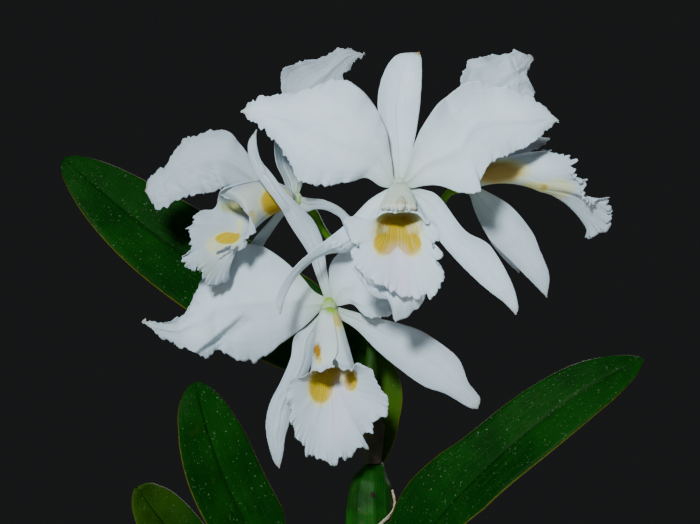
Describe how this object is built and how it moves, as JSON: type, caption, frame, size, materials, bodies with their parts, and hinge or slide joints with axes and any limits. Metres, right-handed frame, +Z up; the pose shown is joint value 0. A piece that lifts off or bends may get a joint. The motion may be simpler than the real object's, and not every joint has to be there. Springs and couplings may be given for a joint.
{
  "type": "potted cattleya orchid",
  "caption": "Potted cattleya orchid in flower: large white blooms with frilled lips and yellow throats over strap leaves on pseudobulbs, in a plain clay pot of bark.",
  "frame": {"origin": "centre of the underside of the pot's foot", "axes": "+Z up; the plant's front, which its top bloom faces, looks towards -Y; +X to the viewer's right"},
  "size_m": [0.3029, 0.1525, 0.4941],
  "materials": {
    "petal_white": "soft satin petals, white, with a yellow throat",
    "leaf_green": "leathery, waxy, mid green with a paler margin",
    "stalk_green": "smooth yellow-green stalk",
    "bulb_green": "ribbed green pseudobulbs with dry papery sheaths",
    "dry_sheath": "dry and papery",
    "pot_clay": "plain unglazed clay",
    "bark_brown": "coarse potting bark"
  },
  "bodies": {
    "root": {"bloom_top": "petal_white", "bloom_low": "petal_white", "bloom_left": "petal_white", "bloom_right": "petal_white", "leaf_left": "leaf_green", "leaf_right": "leaf_green", "leaf_front": "leaf_green", "leaf_small": "leaf_green", "flower_stem": "stalk_green", "bulbs": "bulb_green", "sheath_dry": "dry_sheath", "pot": "pot_clay", "bark": "bark_brown"}
  },
  "joints": []
}
